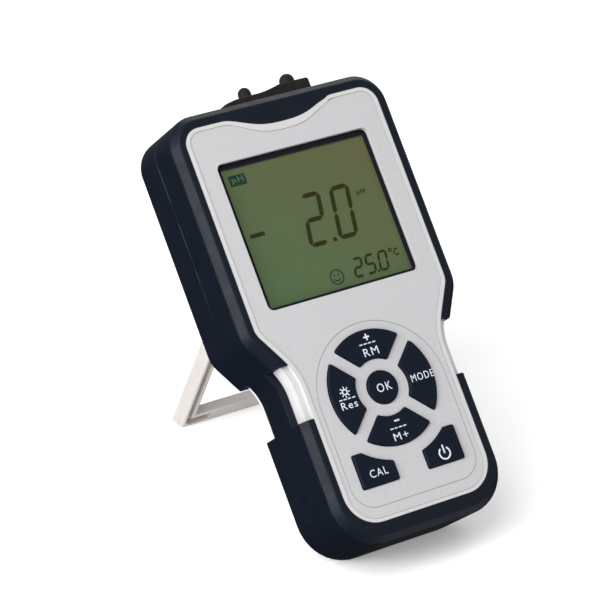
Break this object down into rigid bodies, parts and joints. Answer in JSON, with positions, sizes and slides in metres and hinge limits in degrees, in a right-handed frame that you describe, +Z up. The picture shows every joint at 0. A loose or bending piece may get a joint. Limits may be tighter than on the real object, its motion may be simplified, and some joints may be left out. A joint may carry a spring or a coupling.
{
  "type": "handheld ph meter",
  "caption": "Handheld pH and temperature meter: display over a round keypad in a waisted rubber boot, leaning on a fold-out stand, with capped sockets on top.",
  "frame": {"origin": "on the table under the middle of the meter as it stands on the lower edge of its boot and on its opened stand", "axes": "+Z up from the table, -Y the way the keypad faces, +X to the right of a person who reads it"},
  "size_m": [0.0936, 0.1438, 0.1464],
  "materials": {
    "boot_rubber": "matt moulded rubber",
    "case_front": "satin near-white plastic",
    "case_rear": "fine spark texture",
    "seal_rubber": "matt",
    "overlay_film": "pearl grey printed film",
    "window_clear": "clear acrylic",
    "mask_black": "printed black",
    "lcd_panel": "green reflective display",
    "holder_plastic": "black moulded",
    "backlight_diffuser": "white diffuser",
    "board_green": "solder mask",
    "chip_epoxy": "moulded epoxy",
    "capacitor_can": "sleeved can",
    "dome_film": "clear film",
    "contact_steel": "bright steel",
    "key_rubber": "matt key rubber",
    "stand_plastic": "light grey moulded",
    "cell_jacket": "printed jacket",
    "label_film": "blank label",
    "socket_metal": "nickel plated",
    "insulator_white": "moulded insulator",
    "contact_brass": "gold plated brass",
    "cap_rubber": "soft black rubber"
  },
  "bodies": {
    "meter": {"boot": "boot_rubber", "front_housing": "case_front", "rear_housing": "case_rear", "housing_seal": "seal_rubber", "panel_overlay": "overlay_film", "lcd_window": "window_clear", "lcd_mask": "mask_black", "lcd_glass": "lcd_panel", "lcd_holder": "holder_plastic", "lcd_backlight": "backlight_diffuser", "zebra_strips": "seal_rubber", "main_board": "board_green", "board_chips": "chip_epoxy", "board_capacitors": "capacitor_can", "buzzer": "chip_epoxy", "dome_sheet": "dome_film", "snap_domes": "contact_steel", "case_screws": "contact_steel", "stand_pins": "contact_steel", "cell_left": "cell_jacket", "cell_right": "cell_jacket", "battery_contacts": "contact_steel", "battery_springs": "contact_steel", "rating_label": "label_film", "socket_well": "holder_plastic", "bnc_shell": "socket_metal", "bnc_insulator": "insulator_white", "bnc_contact": "contact_brass", "bnc_nut": "socket_metal", "temp_shell": "socket_metal", "temp_insulator": "insulator_white", "temp_contact": "contact_brass", "temp_nut": "socket_metal"},
    "stand": {"kickstand": "stand_plastic"},
    "dust_caps": {"dust_cap_strip": "cap_rubber"},
    "cover": {"battery_cover": "case_rear", "battery_seal": "seal_rubber", "cover_screw": "contact_steel"},
    "button_plus": {"key_plus": "key_rubber"},
    "button_backlight": {"key_backlight": "key_rubber"},
    "button_minus": {"key_minus": "key_rubber"},
    "button_mode": {"key_mode": "key_rubber"},
    "button_ok": {"key_ok": "key_rubber"},
    "button_cal": {"key_cal": "key_rubber"},
    "button_power": {"key_power": "key_rubber"}
  },
  "joints": [
    {"name": "stand_fold", "type": "hinge", "parent": "meter", "child": "stand", "pos_m": [0, 0.02365, 0.08884], "axis": [-1, 0, 0], "range_deg": [0, 68]},
    {"name": "dust_cap_pull", "type": "slide", "parent": "meter", "child": "dust_caps", "axis": [0, 0.6626, 0.749], "range_m": [0, 0.025]},
    {"name": "battery_cover_lift", "type": "slide", "parent": "meter", "child": "cover", "axis": [0, 0.749, -0.6626], "range_m": [0, 0.03]},
    {"name": "press_plus", "type": "slide", "parent": "meter", "child": "button_plus", "axis": [0, 0.749, -0.6626], "range_m": [0, 0.0005], "stiffness_N_per_m": 3000},
    {"name": "press_backlight", "type": "slide", "parent": "meter", "child": "button_backlight", "axis": [0, 0.749, -0.6626], "range_m": [0, 0.0005], "stiffness_N_per_m": 3000},
    {"name": "press_minus", "type": "slide", "parent": "meter", "child": "button_minus", "axis": [0, 0.749, -0.6626], "range_m": [0, 0.0005], "stiffness_N_per_m": 3000},
    {"name": "press_mode", "type": "slide", "parent": "meter", "child": "button_mode", "axis": [0, 0.749, -0.6626], "range_m": [0, 0.0005], "stiffness_N_per_m": 3000},
    {"name": "press_ok", "type": "slide", "parent": "meter", "child": "button_ok", "axis": [0, 0.749, -0.6626], "range_m": [0, 0.0005], "stiffness_N_per_m": 3000},
    {"name": "press_cal", "type": "slide", "parent": "meter", "child": "button_cal", "axis": [0, 0.749, -0.6626], "range_m": [0, 0.0005], "stiffness_N_per_m": 3000},
    {"name": "press_power", "type": "slide", "parent": "meter", "child": "button_power", "axis": [0, 0.749, -0.6626], "range_m": [0, 0.0005], "stiffness_N_per_m": 3000}
  ]
}
